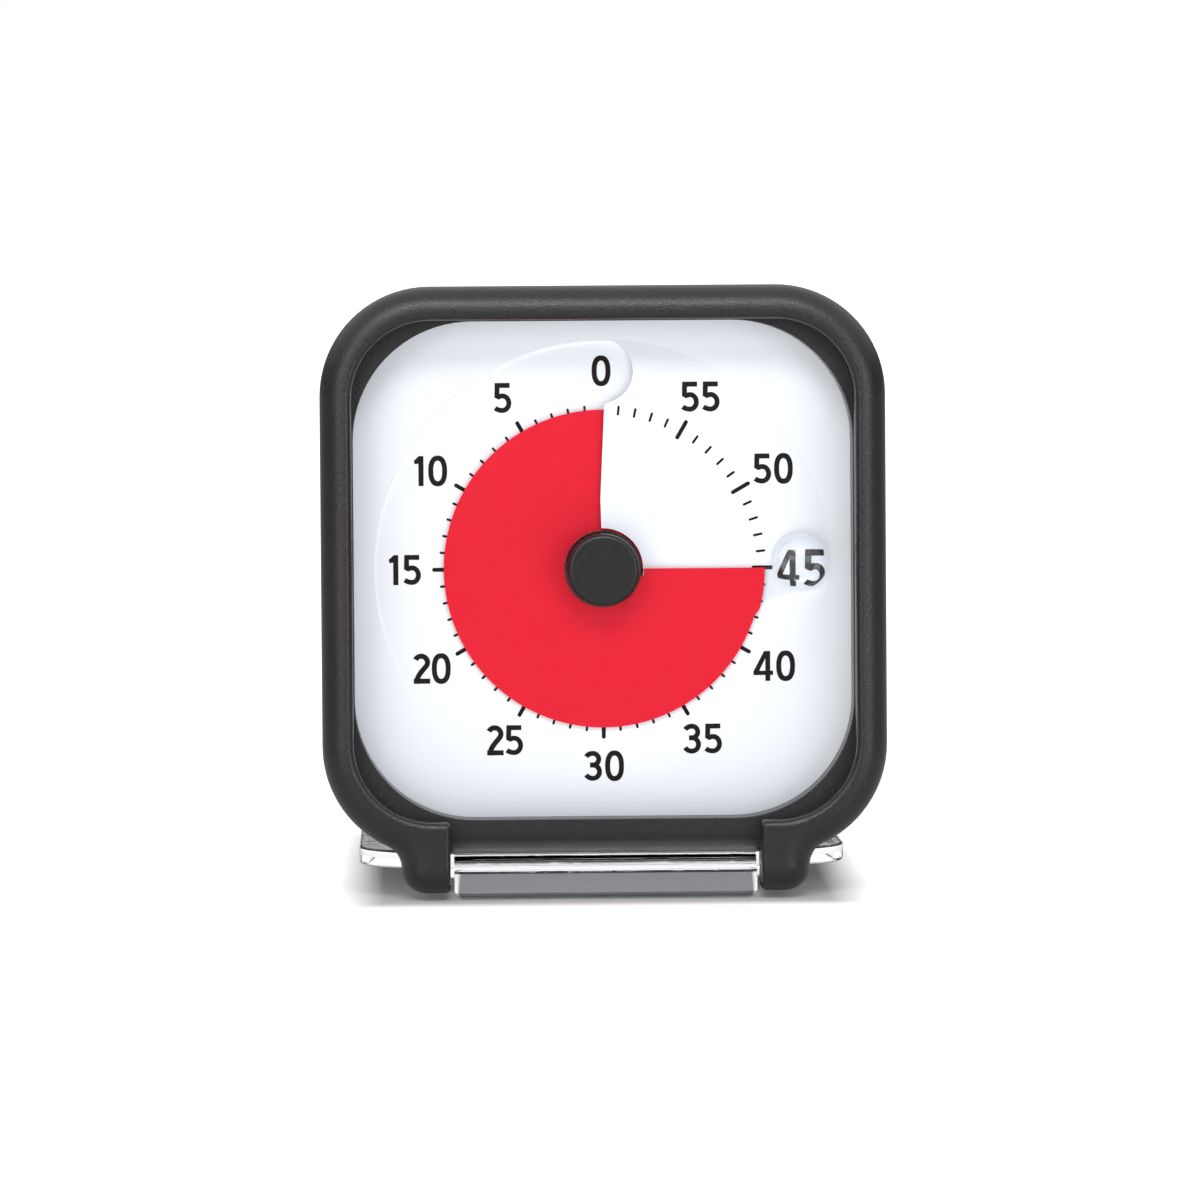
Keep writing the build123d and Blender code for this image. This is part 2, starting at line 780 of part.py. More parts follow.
# Clutch spring: a three-armed washer on the arbor that presses on the center wheel
with BuildPart() as clutch_spring:
    with BuildSketch(at(center_level - clutch_gap - clutch_thickness)):
        Circle(arbor_flange)
        with PolarLocations(clutch_radius / 2, 3):
            Rectangle(clutch_radius, clutch_arm)
        Circle(arbor_radius, mode=Mode.SUBTRACT)
    extrude(amount=-clutch_thickness)
clutch_spring.part.label = "clutch_spring"
export_step(clutch_spring.part, "parts/clutch_spring.step")

# Where the wheels stand
room_top = movement_top - movement_wall
room_bottom = cell_y + cell_radius + bay_clearance + movement_wall
third_distance = tooth_module * (center_teeth + pinion_teeth) / 2
intermediate_distance = tooth_module * (third_teeth + pinion_teeth) / 2
rotor_distance = tooth_module * (intermediate_teeth + pinion_teeth) / 2
third_at = beside((0, 0), third_distance, third_direction)
intermediate_at = beside(third_at, intermediate_distance, intermediate_direction)
rotor_at = beside(intermediate_at, rotor_distance, rotor_direction)
staffs = [third_at, intermediate_at, rotor_at]
plate_back = movement_front + movement_wall
board_top = room_top - board_gap
board_bottom = room_bottom + board_gap
board_posts = [
    (board_left + 2 * board_post, board_top - 2 * board_post),
    (board_right - 2 * board_post, board_bottom + 2 * board_post),
]
stator_bottom = room_bottom + stator_rise
stator_posts = [
    (stator_left + stator_arm / 2, stator_bottom + stator_arm / 2),
    (stator_right - stator_arm / 2, stator_bottom + stator_arm / 2),
]

# Movement case: front plate and walls, gear room above and battery bay below
bay_half = movement_half - bay_end_wall
bay_height = 2 * (cell_radius + bay_clearance)
with BuildPart() as movement_case:
    with BuildSketch(at(movement_front)):
        with Locations((0, (movement_top + movement_bottom) / 2)):
            Rectangle(2 * movement_half, movement_top - movement_bottom)
    extrude(amount=-movement_depth)
    with BuildSketch(at(movement_front)):
        with Locations(*corners((movement_half + lug_end) / 2, post_y)):
            Rectangle(lug_end - movement_half, 2 * lug_half)
    extrude(amount=-lug_thickness)
    with BuildSketch(at(movement_back)):
        with Locations((0, (room_top + room_bottom) / 2)):
            Rectangle(2 * (movement_half - movement_wall), room_top - room_bottom)
        with Locations((0, cell_y)):
            Rectangle(2 * bay_half, bay_height)
    extrude(amount=movement_depth - movement_wall, mode=Mode.SUBTRACT)
    with BuildSketch(at(movement_front)):
        with Locations(*corners(post_x, post_y)):
            Circle(small_screw_radius + screw_play)
    extrude(amount=-lug_thickness, mode=Mode.SUBTRACT)
    # the arbor's bush, the wheels' bearings and the posts that the board stands on
    with BuildSketch(at(plate_back)):
        Circle(bush_radius)
    extrude(amount=-bush_length)
    with BuildSketch(at(movement_front)):
        Circle(arbor_radius + arbor_gap)
    extrude(amount=-movement_wall - bush_length, mode=Mode.SUBTRACT)
    with BuildSketch(at(plate_back)):
        with Locations(*staffs):
            Circle(staff_radius + pivot_gap)
    extrude(amount=pivot_depth, mode=Mode.SUBTRACT)
    with BuildSketch(at(plate_back)):
        with Locations(*board_posts):
            Circle(board_post)
    extrude(amount=plate_back - board_level)
    with BuildSketch(at(plate_back)):
        with Locations(*stator_posts):
            Circle(stator_post)
    extrude(amount=plate_back - stator_level)
    # notches in the top wall for the leads
    with BuildSketch(at(movement_back)):
        wall_y = movement_top - movement_wall / 2
        with Locations((beeper_x, wall_y), (switch_lead_x, wall_y)):
            Rectangle(lead_notch, 2 * movement_wall)
    extrude(amount=movement_back - lead_level + lead_room, mode=Mode.SUBTRACT)
movement_case.part.label = "movement_case"
export_step(movement_case.part, "parts/movement_case.step")

# Movement lid: closes the gear room and carries the wheels' rear bearings
with BuildPart() as movement_lid:
    with BuildSketch(at(movement_back)):
        with Locations((0, (movement_top + room_bottom - movement_wall) / 2)):
            Rectangle(2 * movement_half, movement_top - room_bottom + movement_wall)
    extrude(amount=-lid_thickness)
    with BuildSketch(at(movement_back)):
        with Locations(*staffs):
            Circle(staff_radius + pivot_gap)
        Circle(arbor_radius + arbor_gap)
    extrude(amount=-pivot_depth, mode=Mode.SUBTRACT)
movement_lid.part.label = "movement_lid"
export_step(movement_lid.part, "parts/movement_lid.step")

# Screws that hold the movement to the dial plate's posts
with BuildPart() as movement_screws:
    with BuildSketch(at(movement_front + lug_thickness)):
        with Locations(*corners(post_x, post_y)):
            Circle(small_screw_head)
    extrude(amount=-small_screw_head_height)
    with BuildSketch(at(movement_front + lug_thickness)):
        with Locations(*corners(post_x, post_y)):
            Circle(small_screw_radius)
    extrude(amount=small_screw_length)
movement_screws.part.label = "movement_screws"
export_step(movement_screws.part, "parts/movement_screws.step")


def toothed(centre, level, thickness, teeth, tooth_at):
    """Adds a toothed disk to the open part, its front face at this level."""
    with BuildSketch(at(level)) as toothed_disk:
        with BuildLine():
            Polyline(
                *[(centre[0] + x, centre[1] + y) for x, y in tooth_points(teeth, tooth_at)],
                close=True,
            )
        make_face()
    extrude(toothed_disk.sketch, amount=-thickness)


def staff(centre):
    """Adds a staff with its two pivots to the open part."""
    with BuildSketch(at(plate_back - pivot_depth + pivot_gap)) as staff_section:
        with Locations(centre):
            Circle(staff_radius)
    extrude(staff_section.sketch, amount=plate_back - movement_back - 2 * (pivot_depth - pivot_gap))


def meeting_gap(teeth, direction):
    """Where a wheel's tooth stands so that a gap faces a direction."""
    return direction + 180 / teeth


# Center wheel: turns once an hour, loose on the arbor between its flange and the clutch spring
with BuildPart() as center_wheel:
    toothed((0, 0), center_level, wheel_thickness, center_teeth, meeting_gap(center_teeth, third_direction))
    with BuildSketch(at(center_level)):
        Circle(arbor_radius + arbor_gap)
    extrude(amount=-wheel_thickness, mode=Mode.SUBTRACT)
center_wheel.part.label = "center_wheel"
export_step(center_wheel.part, "parts/center_wheel.step")

pinion_length = wheel_thickness + 2 * pinion_overlap
with BuildPart() as third_wheel:
    staff(third_at)
    toothed(third_at, center_level - pinion_overlap, pinion_length, pinion_teeth, third_direction + 180)
    third_gap = meeting_gap(third_teeth, intermediate_direction)
    toothed(third_at, third_level, wheel_thickness, third_teeth, third_gap)
third_wheel.part.label = "third_wheel"
export_step(third_wheel.part, "parts/third_wheel.step")

with BuildPart() as intermediate_wheel:
    staff(intermediate_at)
    pinion_tooth = intermediate_direction + 180
    toothed(intermediate_at, third_level - pinion_overlap, pinion_length, pinion_teeth, pinion_tooth)
    intermediate_gap = meeting_gap(intermediate_teeth, rotor_direction)
    toothed(intermediate_at, intermediate_level, wheel_thickness, intermediate_teeth, intermediate_gap)
intermediate_wheel.part.label = "intermediate_wheel"
export_step(intermediate_wheel.part, "parts/intermediate_wheel.step")

# Rotor: pinion and round magnet on one staff
with BuildPart() as rotor:
    staff(rotor_at)
    toothed(rotor_at, intermediate_level - pinion_overlap, pinion_length, pinion_teeth, rotor_direction + 180)
    with BuildSketch(at(magnet_level)):
        with Locations(rotor_at):
            Circle(magnet_radius)
    extrude(amount=-magnet_length)
rotor.part.label = "rotor"
export_step(rotor.part, "parts/rotor.step")

# Stator: an upside-down U of sheet with the rotor's window in its right end
stator_top = rotor_at[1] - stator_head
with BuildPart() as stator:
    with BuildSketch(at(stator_level)):
        for x_from, x_to, y_from, y_to in (
            (stator_left, stator_left + stator_arm, stator_bottom, stator_top + stator_arm),
            (stator_left, stator_right, stator_top, stator_top + stator_arm),
            (stator_right - stator_arm, stator_right, stator_bottom, stator_top + stator_arm),
            (rotor_at[0] - stator_head, stator_right, stator_top, rotor_at[1] + stator_head),
        ):
            with Locations(((x_from + x_to) / 2, (y_from + y_to) / 2)):
                Rectangle(x_to - x_from, y_to - y_from)
        with Locations(rotor_at):
            Circle(magnet_radius + magnet_gap, mode=Mode.SUBTRACT)
    extrude(amount=-stator_thickness)
stator.part.label = "stator"
export_step(stator.part, "parts/stator.step")

# Coil core: the bar that closes the stator behind its two arms
core_level = stator_level + stator_thickness
core_y = stator_bottom + stator_arm / 2
core_x = (stator_left + stator_right) / 2
with BuildPart() as coil_core:
    with BuildSketch(at(core_level)):
        with Locations((core_x, core_y)):
            Rectangle(stator_right - stator_left, stator_arm)
    extrude(amount=-stator_thickness)
coil_core.part.label = "coil_core"
export_step(coil_core.part, "parts/coil_core.step")


def across(x, y, behind):
    """The plane square to x at a point in body coordinates, its own x up along the dial."""
    return Plane(origin=spot(x, y, behind), x_dir=up, z_dir=right)


coil_middle = core_level + stator_thickness / 2
with BuildPart() as coil_bobbin:
    with BuildSketch(across(core_x - coil_half, core_y, coil_middle)):
        Circle(bobbin_radius)
    extrude(amount=2 * coil_half)
    for x in (core_x - coil_half, core_x + coil_half - bobbin_flange_thickness):
        with BuildSketch(across(x, core_y, coil_middle)):
            Circle(bobbin_flange)
        extrude(amount=bobbin_flange_thickness)
    with BuildSketch(across(core_x - coil_half, core_y, coil_middle)):
        Rectangle(stator_arm + core_play, stator_thickness + core_play)
    extrude(amount=2 * coil_half, mode=Mode.SUBTRACT)
coil_bobbin.part.label = "coil_bobbin"
export_step(coil_bobbin.part, "parts/coil_bobbin.step")

with BuildPart() as coil_winding:
    with BuildSketch(across(core_x - coil_half + bobbin_flange_thickness, core_y, coil_middle)):
        Circle(coil_radius)
        Circle(bobbin_radius, mode=Mode.SUBTRACT)
    extrude(amount=2 * (coil_half - bobbin_flange_thickness))
coil_winding.part.label = "coil_winding"
export_step(coil_winding.part, "parts/coil_winding.step")

# Circuit board with its chip and quartz crystal
board_middle = (board_left + board_right) / 2
with BuildPart() as circuit_board:
    with BuildSketch(at(board_level)):
        with Locations((board_middle, (board_top + board_bottom) / 2)):
            Rectangle(board_right - board_left, board_top - board_bottom)
    extrude(amount=-board_thickness)
circuit_board.part.label = "circuit_board"
export_step(circuit_board.part, "parts/circuit_board.step")

with BuildPart() as controller_chip:
    with BuildSketch(at(board_level)):
        with Locations((board_middle, -chip_size / 2)):
            Circle(chip_size / 2)
    extrude(amount=chip_height)
    fillet(controller_chip.faces().sort_by(out_axis)[-1].edges(), chip_height / 2)
controller_chip.part.label = "controller_chip"
export_step(controller_chip.part, "parts/controller_chip.step")

with BuildPart() as quartz_crystal:
    with BuildSketch(across(board_middle, chip_size, board_level - crystal_radius)):
        Circle(crystal_radius)
    extrude(amount=crystal_length)
quartz_crystal.part.label = "quartz_crystal"
export_step(quartz_crystal.part, "parts/quartz_crystal.step")

# Beeper disk in its ring
beeper_front = case_depth - wall - beeper_ring_height
with BuildPart() as beeper:
    with BuildSketch(at(beeper_front)):
        with Locations((beeper_x, beeper_y)):
            Circle(beeper_radius)
    extrude(amount=-beeper_thickness)
beeper.part.label = "beeper"
export_step(beeper.part, "parts/beeper.step")

# Sound switch: body on its rails, and the slider whose nub stands out of the back
with BuildPart() as switch_body:
    with BuildSketch(at(case_depth - wall - rail_height)):
        with Locations((switch_x, switch_y)):
            Rectangle(switch_body_length, switch_body_height)
    extrude(amount=switch_body_depth)
switch_body.part.label = "switch_body"
export_step(switch_body.part, "parts/switch_body.step")

slider_x = switch_x - switch_travel / 2
with BuildPart() as sound_switch:
    with BuildSketch(at(case_depth - wall - slot_play / 2)):
        with Locations((slider_x, switch_y)):
            Rectangle(nub_width + 2 * slider_flange, nub_height + 2 * slider_flange)
    extrude(amount=slider_thickness)
    with BuildSketch(at(case_depth - wall - slot_play / 2)):
        with Locations((slider_x, switch_y)):
            Rectangle(nub_width, nub_height)
    extrude(amount=-wall - nub_proud - slot_play / 2)
    fillet(sound_switch.faces().sort_by(out_axis)[0].edges(), nub_round)
sound_switch.part.label = "sound_switch"
export_step(sound_switch.part, "parts/sound_switch.step")


def bend_radii(route):
    """The radius at each inner point of a route: as large as its two runs allow."""
    radii = []
    for before, here, after in zip(route, route[1:], route[2:]):
        half_turn = radians((here - before).get_angle(after - here) / 2)
        radii.append(bend_share * min((here - before).length, (after - here).length) / tan(half_turn))
    return radii


def lead_pair(route_of):
    """Adds two leads side by side to the open part, each a round wire along its route."""
    for shift in (-lead_pitch / 2, lead_pitch / 2):
        route = [spot(*point) for point in route_of(shift)]
        with BuildLine() as path:
            FilletPolyline(*route, radius=bend_radii(route))
        with BuildSketch(Plane(origin=route[0], z_dir=route[1] - route[0])) as section:
            Circle(lead_wire)
        sweep(section.sketch, path=path.line)


# Leads from the beeper and from the switch to the back of the board
lead_end = board_top - 2 * lead_pitch


def beeper_route(shift):
    """From the beeper's face, forward to the board's back."""
    x = beeper_x + shift
    return (
        (x, beeper_y, beeper_front - lead_wire),
        (x, beeper_y - beeper_radius, beeper_front - lead_wire),
        (x, movement_top, lead_level),
        (x, lead_end, lead_level),
    )


def switch_route(shift):
    """From the switch's side, along the top of the movement and down to the board's back."""
    return (
        (switch_x - switch_body_length / 2, switch_y + shift, lead_level),
        (switch_lead_x - shift, switch_y + shift, lead_level),
        (switch_lead_x - shift, lead_end, lead_level),
    )


with BuildPart() as beeper_leads:
    lead_pair(beeper_route)
beeper_leads.part.label = "beeper_leads"
export_step(beeper_leads.part, "parts/beeper_leads.step")

with BuildPart() as switch_leads:
    lead_pair(switch_route)
switch_leads.part.label = "switch_leads"
export_step(switch_leads.part, "parts/switch_leads.step")

# Battery and its contacts
cell_behind = plate_back + cell_radius + cell_rest
cell_right = bay_half - contact_sheet - cell_rest
cell_left = cell_right - cell_length
with BuildPart() as battery:
    with BuildSketch(across(cell_left, cell_y, cell_behind)):
        Circle(cell_radius)
    extrude(amount=cell_length - cell_nub_length)
    fillet(battery.edges().filter_by(GeomType.CIRCLE), cell_edge)
    with BuildSketch(across(cell_right, cell_y, cell_behind)):
        Circle(cell_nub_radius)
    extrude(amount=-2 * cell_nub_length)
battery.part.label = "battery"
export_step(battery.part, "parts/battery.step")

with BuildPart() as positive_contact:
    with BuildSketch(across(bay_half, cell_y, cell_behind)):
        Rectangle(contact_size, contact_size)
    extrude(amount=-contact_sheet)
positive_contact.part.label = "positive_contact"
export_step(positive_contact.part, "parts/positive_contact.step")

spring_from = -bay_half + contact_sheet + spring_wire / 2
spring_length = cell_left - cell_rest - spring_wire - spring_from
with BuildPart() as battery_spring:
    with BuildSketch(across(-bay_half, cell_y, cell_behind)):
        Rectangle(contact_size, contact_size)
    extrude(amount=contact_sheet)
    with BuildLine() as coil:
        Helix(
            spring_length / spring_coils,
            spring_length,
            spring_radius,
            center=spot(spring_from, cell_y, cell_behind),
            direction=right,
        )
    with BuildSketch(Plane(origin=coil.line @ 0, z_dir=coil.line % 0)):
        Circle(spring_wire)
    sweep(path=coil.line, is_frenet=True)
battery_spring.part.label = "battery_spring"
export_step(battery_spring.part, "parts/battery_spring.step")

# Clear cover: a shallow rimmed plate, a neck and the hinge bar, with its two pins moulded on
cover_middle = (cover_shoulder + cover_far) / 2
cover_length = cover_far - cover_shoulder


def over(level):
    """The plane of the open cover at a level above the hinge axis, its own y running to the back."""
    return Plane(origin=hinge_point + up * level, x_dir=right, z_dir=up)


with BuildPart() as clear_cover:
    with BuildSketch(over(cover_rim)):
        with Locations((0, cover_middle)):
            RectangleRounded(2 * cover_half, cover_length, cover_corner)
    extrude(amount=cover_depth)
    cover_faces = clear_cover.faces().sort_by(up_axis)
    fillet(cover_faces[0].edges() + cover_faces[-1].edges(), cover_edge)
    with BuildSketch(over(cover_rim)):
        with Locations((0, cover_middle)):
            RectangleRounded(
                2 * (cover_half - cover_wall), cover_length - 2 * cover_wall, cover_corner - cover_wall
            )
    extrude(amount=cover_depth - cover_wall, mode=Mode.SUBTRACT)
    with BuildSketch(side(-bar_end)) as bar_profile:
        with Locations((0, (bar_head - bar_heel) / 2)):
            Rectangle(2 * bar_half, bar_head + bar_heel)
        fillet([v for v in bar_profile.vertices() if v.Y < 0], heel_round)
        # the neck is as thick as the plate, and rises from the bar in one bend
        with BuildLine():
            Spline(
                (neck_start, bar_head),
                (neck_rise, cover_top),
                tangents=((1, 0), (1, 0)),
            )
            Polyline(
                (neck_rise, cover_top),
                (cover_shoulder + cover_wall, cover_top),
                (cover_shoulder + cover_wall, cover_top - cover_wall),
                (neck_rise, cover_top - cover_wall),
            )
            Spline(
                (neck_rise, cover_top - cover_wall),
                (neck_start, bar_head - cover_wall),
                tangents=((-1, 0), (-1, 0)),
            )
            Line((neck_start, bar_head - cover_wall), (neck_start, bar_head))
        make_face()
    extrude(amount=2 * bar_end)
    # the bar's lower corners are rounded at its two ends
    bar_ends = []
    for edge in clear_cover.edges().filter_by(out_axis):
        middle = over(0).to_local_coords(edge @ 0.5)
        if abs(abs(middle.X) - bar_end) < TINY and abs(middle.Z + bar_heel) < TINY:
            bar_ends.append(edge)
    fillet(bar_ends, bar_corner)
    for end in (-1, 1):
        with BuildSketch(side(end * bar_end)):
            Circle(pin_radius)
        extrude(amount=end * pin_length)
clear_cover.part.label = "clear_cover"
export_step(clear_cover.part, "parts/clear_cover.step")
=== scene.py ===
"""The looks of the visual countdown timer: finishes, dial print, floor, light and camera.

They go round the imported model, in its frame and in metres. Places on the dial are written in
millimetres as right, up and front, where front is 0 on the flat of the dial and grows towards the
reader. Turns are degrees anticlockwise from the 0.
"""

import json
from math import cos, pi, radians, sin

import bmesh
import bpy
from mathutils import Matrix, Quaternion, Vector
from mathutils.bvhtree import BVHTree
from mathutils.geometry import delaunay_2d_cdt


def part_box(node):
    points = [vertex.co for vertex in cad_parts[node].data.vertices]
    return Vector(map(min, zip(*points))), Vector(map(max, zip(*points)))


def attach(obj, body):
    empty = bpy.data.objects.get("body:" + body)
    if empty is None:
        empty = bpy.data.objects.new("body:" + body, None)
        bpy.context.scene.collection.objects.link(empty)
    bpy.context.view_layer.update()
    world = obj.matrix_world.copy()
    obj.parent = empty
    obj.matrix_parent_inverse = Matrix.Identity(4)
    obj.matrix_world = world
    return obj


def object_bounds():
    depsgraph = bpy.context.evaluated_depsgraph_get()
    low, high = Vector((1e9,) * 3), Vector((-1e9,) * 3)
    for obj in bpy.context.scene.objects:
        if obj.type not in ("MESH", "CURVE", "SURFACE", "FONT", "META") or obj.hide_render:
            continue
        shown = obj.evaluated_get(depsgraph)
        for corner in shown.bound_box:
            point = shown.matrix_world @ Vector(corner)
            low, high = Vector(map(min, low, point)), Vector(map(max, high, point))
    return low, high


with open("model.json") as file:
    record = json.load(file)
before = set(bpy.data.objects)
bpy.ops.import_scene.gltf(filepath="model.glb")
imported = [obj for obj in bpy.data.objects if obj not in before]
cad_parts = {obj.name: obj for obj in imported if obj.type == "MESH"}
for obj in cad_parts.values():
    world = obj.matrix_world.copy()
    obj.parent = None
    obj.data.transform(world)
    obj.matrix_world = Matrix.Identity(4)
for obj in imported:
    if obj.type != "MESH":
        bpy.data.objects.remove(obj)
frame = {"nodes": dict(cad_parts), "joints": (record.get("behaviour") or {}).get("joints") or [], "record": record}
cad_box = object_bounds()

MM = 0.001

# the dial's middle and its directions come from the joint that the knob turns on
timer_turn = next(joint for joint in frame["joints"] if joint["name"] == "timer_turn")
dial_centre = Vector(timer_turn["pos_m"])
right = Vector((1, 0, 0))
out = Vector(timer_turn["axis"])
up = out.cross(right)


def place(x, y, front):
    """A point in the room, from millimetres right, up and in front of the dial."""
    return dial_centre + (right * x + up * y + out * front) * MM


def on_ring(radius, turn):
    """Right and up of a point at a radius and a turn in degrees."""
    return (-radius * sin(radians(turn)), radius * cos(radians(turn)))


# ---------------------------------------------------------------- materials

# how deep the painted shade on the hinge bar's front goes, and over what depth it then fades; the grey stands for
# the shaded floor under the timer seen through the clear bar
BAR_SHADE_DEPTH = 0.15
BAR_SHADE_FADE = 0.25
BAR_PAINTED_SHADE = (0.06, 0.06, 0.07)
CLEAR = (0.985, 0.99, 0.995)
RESIST = (0.02, 0.12, 0.04)
JACKET_GREY = (0.09, 0.1, 0.12)
WIRE_TURNS_PER_MM = 8
# Blender's wave texture repeats after this length at scale 1
WAVE_PERIOD = pi / 10
TRACK_PITCH = 1.6
# the light band's share of the cell's length, and half the width of its soft edge
CELL_BAND = 0.28
CELL_BAND_EDGE = 0.1


def new_material(name, base, roughness, specular=0.5, metallic=0.0):
    """A material and its Principled shader, set to what is the same all over."""
    material = bpy.data.materials.new(name)
    material.use_nodes = True
    shader = material.node_tree.nodes["Principled BSDF"]
    shader.inputs["Base Color"].default_value = (*base, 1)
    shader.inputs["Roughness"].default_value = roughness
    shader.inputs["Specular IOR Level"].default_value = specular
    shader.inputs["Metallic"].default_value = metallic
    return material, shader


def scaled_coordinates(material, texture, scale):
    """Fixes a texture to the piece, at a scale on each axis."""
    tree = material.node_tree
    where = tree.nodes.new("ShaderNodeTexCoord")
    scaled = tree.nodes.new("ShaderNodeMapping")
    scaled.inputs["Scale"].default_value = scale
    tree.links.new(where.outputs["Object"], scaled.inputs["Vector"])
    tree.links.new(scaled.outputs["Vector"], texture.inputs["Vector"])


def noise(material, size, detail, stretch=(1, 1, 1)):
    """A noise that is fixed to the piece, with features about this many millimetres across."""
    texture = material.node_tree.nodes.new("ShaderNodeTexNoise")
    texture.inputs["Scale"].default_value = 1
    texture.inputs["Detail"].default_value = detail
    scaled_coordinates(material, texture, [1 / (size * MM * s) for s in stretch])
    return texture.outputs["Fac"]


def ranged(owner, value, low, high, start=0.3, end=0.7):
    """The value spread from low to high as it goes from start to end, in a material or the world."""
    node = owner.node_tree.nodes.new("ShaderNodeMapRange")
    for name, number in (("From Min", start), ("From Max", end), ("To Min", low), ("To Max", high)):
        node.inputs[name].default_value = number
    owner.node_tree.links.new(value, node.inputs["Value"])
    return node.outputs["Result"]


def blend_colours(material, shader, value, first, second):
    """Colours the surface from the first to the second as the value goes from 0 to 1."""
    node = material.node_tree.nodes.new("ShaderNodeMix")
    node.data_type = "RGBA"
    node.inputs[6].default_value = (*first, 1)
    node.inputs[7].default_value = (*second, 1)
    material.node_tree.links.new(value, node.inputs["Factor"])
    material.node_tree.links.new(node.outputs[2], shader.inputs["Base Color"])


def vary_roughness(material, shader, value, low, high):
    """Spreads the surface's roughness from low to high by the value."""
    spread = ranged(material, value, low, high)
    material.node_tree.links.new(spread, shader.inputs["Roughness"])


def bump(material, shader, height, depth):
    """Raises the surface by the height times this many millimetres, over any bump that is there."""
    tree = material.node_tree
    node = tree.nodes.new("ShaderNodeBump")
    node.inputs["Distance"].default_value = depth * MM
    node.inputs["Strength"].default_value = 1
    if shader.inputs["Normal"].is_linked:
        tree.links.new(shader.inputs["Normal"].links[0].from_socket, node.inputs["Normal"])
    tree.links.new(height, node.inputs["Height"])
    tree.links.new(node.outputs["Normal"], shader.inputs["Normal"])


def spark_textured(name, base, worn, roughness, grain, depth, specular):
    """Moulded plastic from a spark-eroded tool: fine even grain, with faint rubbed patches."""
    material, shader = new_material(name, base, roughness, specular)
    rubbed = ranged(material, noise(material, 14, 4), 0, 1, 0.45, 0.75)
    blend_colours(material, shader, rubbed, base, worn)
    vary_roughness(material, shader, noise(material, 0.5, 3), roughness - 0.05, roughness + 0.05)
    bump(material, shader, noise(material, grain, 2), depth)
    bump(material, shader, noise(material, 6, 1), 0.01)
    return material


def white_dial():
    """Satin white styrene, with the faint unevenness of a moulded plate."""
    material, shader = new_material("white_dial", (0.885, 0.91, 0.96), 0.38, 0.2)
    mottle = ranged(material, noise(material, 9, 3), 0, 1)
    blend_colours(material, shader, mottle, (0.875, 0.905, 0.96), (0.895, 0.92, 0.965))
    vary_roughness(material, shader, noise(material, 2, 3), 0.34, 0.44)
    bump(material, shader, noise(material, 0.25, 2), 0.0015)
    bump(material, shader, noise(material, 6, 1), 0.006)
    return material


def red_film():
    """Red vinyl film that lets a little light through."""
    material, shader = new_material("red_film", (0.99, 0.006, 0.034), 0.42, 0.15)
    shader.inputs["Transmission Weight"].default_value = 0.3
    cloudy = ranged(material, noise(material, 5, 4), 0, 1)
    blend_colours(material, shader, cloudy, (0.98, 0.005, 0.031), (1.0, 0.007, 0.037))
    vary_roughness(material, shader, noise(material, 1.2, 3), 0.36, 0.48)
    bump(material, shader, noise(material, 0.3, 2), 0.002)
    return material


def clear_plastic():
    """Polished clear polystyrene, with the slight waves of a moulding."""
    material, shader = new_material("clear_plastic", CLEAR, 0.015)
    shader.inputs["Transmission Weight"].default_value = 1
    shader.inputs["IOR"].default_value = 1.49
    vary_roughness(material, shader, noise(material, 3, 3), 0.005, 0.03)
    bump(material, shader, noise(material, 5, 1), 0.012)
    # painted shade: the front face of the hinge bar is coloured grey, for the shaded floor under the timer that
    # shows through the clear bar
    tree = material.node_tree
    split = tree.nodes.new("ShaderNodeSeparateXYZ")
    where = tree.nodes.new("ShaderNodeTexCoord").outputs["Object"]
    tree.links.new(where, split.inputs["Vector"])
    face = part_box("clear_cover")[0].y
    shade_end = face + BAR_SHADE_DEPTH * MM
    clear_start = face + (BAR_SHADE_DEPTH + BAR_SHADE_FADE) * MM
    unshaded = ranged(material, split.outputs["Y"], 0, 1, shade_end, clear_start)
    blend_colours(material, shader, unshaded, BAR_PAINTED_SHADE, CLEAR)
    # lamps shine straight through it, so it hardly darkens what lies behind
    path = tree.nodes.new("ShaderNodeLightPath")
    passing = tree.nodes.new("ShaderNodeBsdfTransparent")
    passing.inputs["Color"].default_value = (0.93, 0.94, 0.95, 1)
    either = tree.nodes.new("ShaderNodeMixShader")
    tree.links.new(path.outputs["Is Shadow Ray"], either.inputs["Fac"])
    tree.links.new(shader.outputs[0], either.inputs[1])
    tree.links.new(passing.outputs[0], either.inputs[2])
    tree.links.new(either.outputs[0], tree.nodes["Material Output"].inputs["Surface"])
    return material


def printed_ink():
    """Screen-printed black ink: a dense film, a little uneven."""
    material, shader = new_material("printed_ink", (0.013, 0.009, 0.009), 0.5, 0.12)
    patchy = ranged(material, noise(material, 0.8, 3), 0, 1)
    blend_colours(material, shader, patchy, (0.009, 0.007, 0.007), (0.018, 0.012, 0.011))
    vary_roughness(material, shader, noise(material, 0.4, 2), 0.42, 0.58)
    bump(material, shader, noise(material, 0.15, 2), 0.002)
    return material


def moulded(name, base, second, roughness=0.45, gloss=0.45):
    """Plain injection moulding with flow marks, for the inner parts."""
    material, shader = new_material(name, base, roughness, gloss)
    flow = ranged(material, noise(material, 3, 4, (1, 1, 4)), 0, 1)
    blend_colours(material, shader, flow, base, second)
    vary_roughness(material, shader, noise(material, 1, 3), roughness - 0.07, roughness + 0.07)
    bump(material, shader, noise(material, 0.4, 2), 0.004)
    return material


def metal(name, base, second, roughness, grain=(1, 1, 12), grain_size=0.12, depth=0.002):
    """Metal with drawing or rolling marks along its grain, and slight stains."""
    material, shader = new_material(name, base, roughness, metallic=1.0)
    stained = ranged(material, noise(material, 2, 4), 0, 1)
    blend_colours(material, shader, stained, base, second)
    marks = noise(material, grain_size, 3, grain)
    vary_roughness(material, shader, marks, roughness - 0.08, roughness + 0.1)
    bump(material, shader, marks, depth)
    return material


